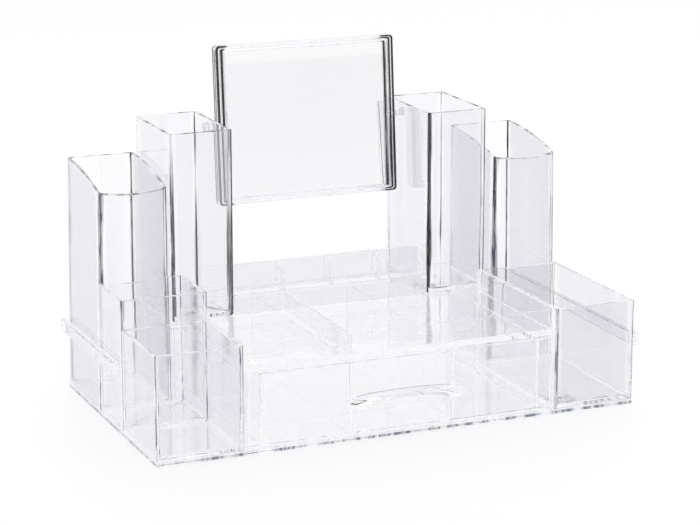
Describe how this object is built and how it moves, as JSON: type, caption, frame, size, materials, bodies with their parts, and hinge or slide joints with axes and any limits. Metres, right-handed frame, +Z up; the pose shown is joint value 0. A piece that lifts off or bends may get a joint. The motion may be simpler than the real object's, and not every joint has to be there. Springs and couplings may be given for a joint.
{
  "type": "desk organizer",
  "caption": "Clear plastic desktop organizer with side bins, upright towers, a tray over a sliding drawer, a short rack and a tilting two-sided mirror.",
  "frame": {"origin": "under the middle of the overall box, on the surface that the organizer stands on", "axes": "+X to the right seen from the front, +Y from the front to the back, +Z up"},
  "size_m": [0.378, 0.2154, 0.2551],
  "materials": {
    "clear_shell": "clear moulded plastic, polished",
    "clear_drawer": "clear moulded plastic, polished",
    "clear_frame": "clear moulded plastic, polished",
    "silvered_glass": "silvered flat glass"
  },
  "bodies": {
    "organizer": {"base_plate": "clear_shell", "left_front_bin": "clear_shell", "left_step_bin": "clear_shell", "right_bin": "clear_shell", "outer_tower_left": "clear_shell", "outer_tower_right": "clear_shell", "drawer_housing": "clear_shell", "upper_tray": "clear_shell", "tray_divider": "clear_shell", "inner_tower_left": "clear_shell", "inner_tower_right": "clear_shell", "holder_rack": "clear_shell", "side_rail_left": "clear_shell", "side_rail_right": "clear_shell", "pivot_washer_left": "clear_frame", "pivot_washer_right": "clear_frame"},
    "drawer": {"drawer_body": "clear_drawer", "drawer_front": "clear_drawer", "drawer_handle": "clear_drawer", "drawer_divider_left": "clear_drawer", "drawer_divider_right": "clear_drawer"},
    "mirror": {"mirror_frame_front": "clear_frame", "mirror_frame_rear": "clear_frame", "mirror_pane_front": "silvered_glass", "mirror_pane_rear": "silvered_glass", "pivot_pin_left": "clear_frame", "pivot_pin_right": "clear_frame"}
  },
  "joints": [
    {"name": "drawer_slide", "type": "slide", "parent": "organizer", "child": "drawer", "axis": [0, -1, 0], "range_m": [0, 0.16]},
    {"name": "mirror_tilt", "type": "hinge", "parent": "organizer", "child": "mirror", "pos_m": [-0.0022, 0.08115, 0.1955], "axis": [1, 0, 0], "continuous": true}
  ]
}
